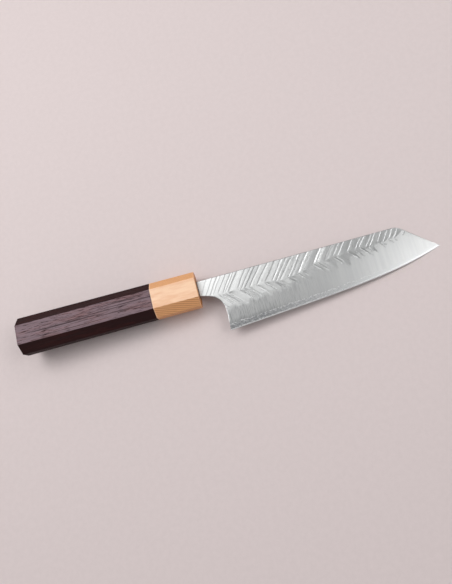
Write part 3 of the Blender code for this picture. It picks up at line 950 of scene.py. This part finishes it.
bead = Layer()
ring_count = len(bead_loop(0.0))
for step, (reach_share, x) in enumerate(BEAD_PROFILE):
    for number, (y, z) in enumerate(bead_loop(reach_share * SEAL_REACH)):
        swell = math.sin(y / SEAL_PACE[0] + z / SEAL_PACE[1]) + math.sin(y / SEAL_PACE[2] + 1.0)
        swell *= SEAL_WAVE if x > 0 else 0.0
        bead.point((step, number), x + swell / 2, y, z)
for step in range(len(BEAD_PROFILE)):
    after = (step + 1) % len(BEAD_PROFILE)
    for number in range(ring_count):
        beside = (number + 1) % ring_count
        corners = [(step, number), (step, beside), (after, beside), (after, number)]
        bead.faces.append([bead.numbers[key] for key in corners])
neck_bead = bead.object("neck_resin_bead")
neck_bead.data.materials.append(dark_resin)
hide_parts("neck_seal")
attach(neck_bead, "root")


# Wooden pieces: the knife's own axes give each its grain, which runs along the handle. Growth rings cross
# it at a slant, and each ring ends in a narrow dark line.
wood_growth, given, result = fresh_group(
    "wood_growth",
    [("Position", VECTOR), ("Slant", VECTOR), ("Ring Width", NUMBER), ("Wander", NUMBER)],
    ["Rings", "Fibres", "Figure"],
)
drawn_out = stretched(given["Position"], (0.16, 1.0, 1.0))
drift = sums("SUBTRACT", speckle(drawn_out, 90.0, 3.0, 0.55), 0.5)
growth = sums("MULTIPLY_ADD", drift, given["Wander"], dot(given["Position"], given["Slant"]))
year = sums("FRACT", sums("DIVIDE", growth, given["Ring Width"]))
late = product(ramp(year, 0.25, 0.86), ramp(year, 0.90, 1.0, 1.0, 0.0))
fine = stretched(given["Position"], (0.03, 1.0, 1.0))
wood_growth.links.new(late, result["Rings"])
wood_growth.links.new(speckle(fine, 3800.0, 3.0, 0.6), result["Fibres"])
wood_growth.links.new(speckle(drawn_out, 260.0, 3.0, 0.6), result["Figure"])


def growth_of(position, slant, ring_width, wander):
    """Rings, fibres and figure of a piece whose rings follow each other in the direction of the slant."""
    feeds = {"Position": position, "Slant": Vector(slant).normalized()}
    feeds |= {"Ring Width": ring_width, "Wander": wander}
    return add(position.id_data, "Group", feeds, node_tree=wood_growth).outputs


def on_wide_flats(tree):
    """How far a face of the handle is turned like the blade's cheeks."""
    facing = dot(add(tree, "NewGeometry").outputs["True Normal"], out_of_cheek)
    return ramp(sums("ABSOLUTE", facing), 0.82, 0.92)


# Dowel: a turned rod of plain wood, glued into both parts of the handle. Nothing of it shows once the
# handle is together.
DOWEL_PALE = colour(0.66, 0.49, 0.30)
DOWEL_RING = colour(0.50, 0.34, 0.19)
DOWEL_FIBRE = colour(0.42, 0.28, 0.16)
dowel_wood, tree, shader = fresh_material("dowel_wood")
rings, fibres, figure = growth_of(knife_position(tree), (0.02, 0.35, 0.94), 0.0013, 0.0016)
tone = tint(rings, DOWEL_PALE, DOWEL_RING)
tone = tint(ramp(fibres, 0.55, 0.8, 0.0, 0.5), tone, DOWEL_FIBRE)
dress(shader, tone, ramp(figure, 0.3, 0.7, 0.5, 0.66), fibres, 0.00005, 0.5)
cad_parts["handle_dowel"].material_slots[0].material = dowel_wood


# Ferrule: an eight-sided block of pale close-grained wood, sanded fine and oiled. Its wide flats show pale
# flat grain, with painted light on top that keeps them paler than the chamfers. The chamfers cut across the
# warmer growth rings, and the front shows end grain.
FERRULE_LENGTH = 0.0339
FLAT_PALE = colour(0.91, 0.625, 0.43)
FLAT_WARM = colour(0.83, 0.50, 0.315)
CUT_PALE = colour(0.78, 0.42, 0.200)
CUT_RING = colour(0.47, 0.185, 0.060)
FERRULE_END = colour(0.66, 0.27, 0.085)
END_RING = colour(0.34, 0.13, 0.045)
RIM_RUN = 0.0009  # how far the rubbed rims reach from the ferrule's ends
FIGURE_TURN = math.radians(62)  # of the flame figure against the grain
FLAME_SCALE = (60.0, 300.0, 60.0)
ferrule_wood, tree, shader = fresh_material("pale_ferrule_wood")
position = knife_position(tree)
rings, fibres, figure = growth_of(position, (0.157, -0.224, 0.962), 0.00095, 0.0011)
turned = {"Vector": position, "Rotation": (0.0, 0.0, FIGURE_TURN), "Scale": FLAME_SCALE}
flame = speckle(add(tree, "Mapping", turned).outputs[0], 1.0, 3.0, 0.55)
# Painted light: the wide flats' tone is partly their grain and partly light put into their colour.
painted_lit_flat_tone = tint(ramp(sums("ADD", figure, flame), 0.80, 1.20), FLAT_PALE, FLAT_WARM)
cut_tone = tint(product(rings, 0.85), CUT_PALE, CUT_RING)
cut_tone = tint(ramp(fibres, 0.52, 0.74, 0.0, 0.4), cut_tone, CUT_RING)
along = add(tree, "SeparateXYZ", {0: position}).outputs[0]
from_middle = sums("ABSOLUTE", sums("ADD", along, FERRULE_LENGTH / 2))
from_end = sums("SUBTRACT", FERRULE_LENGTH / 2, from_middle)
tone = coats(
    tint(on_wide_flats(tree), cut_tone, painted_lit_flat_tone),
    (ramp(from_end, 0.0002, RIM_RUN, 0.55, 0.0), FLAT_PALE),
    (ramp(along, -0.00045, -0.00005), tint(rings, FERRULE_END, END_RING)),
)
dress(shader, tone, ramp(fibres, 0.3, 0.7, 0.42, 0.56), fibres, 0.00004, 0.35)
shader.inputs["Specular IOR Level"].default_value = 0.28
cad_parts["ferrule"].material_slots[0].material = ferrule_wood


# Handle body: eight-sided like the ferrule and glued to it, of dark open-pored wood with an oiled surface.
# Its pores show as short dark dashes along the grain, with long dark seams and reddish streaks. The wide
# flats carry a painted purplish-grey sheen in their colour, for the light that their oiled surface reflects.
# Painted sheen: the wide flats' pale purplish-grey tones.
BODY_PAINTED_SHEEN = colour(0.197, 0.139, 0.158)
BODY_PAINTED_SHEEN_RED = colour(0.232, 0.121, 0.121)
BODY_DARK = colour(0.017, 0.0043, 0.0040)
BODY_RED = colour(0.041, 0.0082, 0.0070)
BODY_PORE = colour(0.020, 0.009, 0.009)
BODY_GLOSS = colour(1.0, 0.84, 0.90)
STREAK_SCALE = (35.0, 2000.0, 2000.0)
SEAM_SCALE = (14.0, 1100.0, 1100.0)
PORE_SCALE = (150.0, 2900.0, 2900.0)
PORE_TURN = math.radians(6)
body_wood, tree, shader = fresh_material("dark_handle_wood")
position = knife_position(tree)
rings, fibres, figure = growth_of(position, (0.03, 0.28, 0.96), 0.0021, 0.0026)
flat = on_wide_flats(tree)
streaks = speckle(position, STREAK_SCALE, 3.0, 0.6)
seams = speckle(position, SEAM_SCALE, 1.0)
leaning = {"Vector": position, "Rotation": (0.0, 0.0, PORE_TURN), "Scale": PORE_SCALE}
dashes = speckle(add(tree, "Mapping", leaning).outputs[0], 1.0, 1.0)
pores = ramp(sums("MULTIPLY_ADD", figure, 0.30, dashes), 0.735, 0.800)
reddish = sums("MAXIMUM", ramp(figure, 0.45, 0.72, 0.0, 0.6), ramp(streaks, 0.54, 0.70, 0.0, 0.8))
cut_tone = tint(reddish, BODY_DARK, BODY_RED)
# Painted sheen on the wide flats.
painted_lit_flat_tone = tint(reddish, BODY_PAINTED_SHEEN, BODY_PAINTED_SHEEN_RED)
tone = coats(
    tint(flat, cut_tone, painted_lit_flat_tone),
    (product(rings, 0.12), BODY_PORE),
    (ramp(streaks, 0.30, 0.46, 0.42, 0.0), BODY_PORE),
    (ramp(seams, 0.615, 0.675, 0.0, 0.70), BODY_PORE),
    (product(pores, 0.85), BODY_PORE),
)
rough = sums("MULTIPLY_ADD", streaks, 0.22, blend(flat, 0.52, 0.30))
rough = sums("MULTIPLY_ADD", pores, 0.35, rough)
raised = sums("MULTIPLY_ADD", fibres, 0.25, product(streaks, 0.3))
relief = sums("MULTIPLY_ADD", pores, -1.0, raised)
dress(shader, tone, rough, relief, 0.00008, 0.45)
shader.inputs["Specular IOR Level"].default_value = 0.17
shader.inputs["Specular Tint"].default_value = BODY_GLOSS
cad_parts["handle_body"].material_slots[0].material = body_wood


# Table: a plain pale surface under the knife, faintly mottled. It is round and ends where it is still as
# pale as the room behind it.
TABLE_RADIUS = 0.50
TABLE_CORNERS = 128
TABLE_PALE = colour(0.670, 0.584, 0.579)
TABLE_GREY = colour(0.650, 0.566, 0.561)
table_mesh = bpy.data.meshes.new("table")
turns = [2 * math.pi * i / TABLE_CORNERS for i in range(TABLE_CORNERS)]
rim = [(TABLE_RADIUS * math.cos(turn), TABLE_RADIUS * math.sin(turn), 0.0) for turn in turns]
table_mesh.from_pydata(rim, [], [range(TABLE_CORNERS)])
table = place("table", table_mesh)
table_paint, tree, shader = fresh_material("table_paint")
mottled = speckle(add(tree, "TexCoord").outputs["Object"], 260.0, 6.0, 0.75)
table_tone = tint(ramp(mottled, 0.35, 0.65), TABLE_PALE, TABLE_GREY)
tree.links.new(table_tone, shader.inputs["Base Color"])
shader.inputs["Roughness"].default_value = 0.85
table_mesh.materials.append(table_paint)


# Studio light: a room that is pale near the floor and dimmer overhead, a large softbox high on the left, a
# panel overhead, a small one behind on the right, and a low softbox at the front right.
OVERHEAD = colour(0.31, 0.31, 0.31)
NEAR_FLOOR = colour(0.66, 0.58, 0.575)
LAMP_DISTANCE = 1.2
SOFTBOXES = (  # (name, right, up, width, height, level), where right and up turn it away from overhead
    ("key_softbox", -0.46, 0.36, 0.78, 0.76, 4.6),
    ("overhead_panel", 0.05, 0.42, 0.50, 0.60, 1.25),
    ("back_softbox", 0.55, 0.50, 0.40, 0.38, 2.5),
    ("front_softbox", 0.66, -0.08, 0.50, 0.60, 3.0),
)
room = bpy.data.worlds.new("room")
room.use_nodes = True
tree = room.node_tree
outward = add(tree, "TexCoord").outputs["Generated"]
upward = add(tree, "SeparateXYZ", {0: outward}).outputs[2]
room_tone = tint(ramp(upward, 0.10, 0.34), NEAR_FLOOR, OVERHEAD)
tree.links.new(room_tone, tree.nodes["Background"].inputs["Color"])
bpy.context.scene.world = room
for name, right, up, width, height, level in SOFTBOXES:
    lamp = bpy.data.lights.new(name, "AREA")
    lamp.shape = "RECTANGLE"
    lamp.size, lamp.size_y = width, height
    lamp.energy = level * math.pi * width * height
    direction = Vector((right, up, math.sqrt(1 - right**2 - up**2)))
    softbox = place(name, lamp)
    softbox.location = direction * LAMP_DISTANCE
    softbox.rotation_euler = direction.to_track_quat("Z", "Y").to_euler()


# Camera: where the photograph was taken from, almost straight above the neck.
CAMERA_PLACE = (0.022213, -0.074995, 0.351569)
CAMERA_TURN = (11.4748, 7.2191, -14.7276)  # degrees
camera = bpy.data.cameras.new("camera")
camera.sensor_width = 36.0
camera.lens = 29.37
viewer = place("camera", camera)
viewer.location = CAMERA_PLACE
viewer.rotation_euler = [math.radians(angle) for angle in CAMERA_TURN]
bpy.context.scene.camera = viewer
bpy.context.scene.view_settings.view_transform = "Standard"
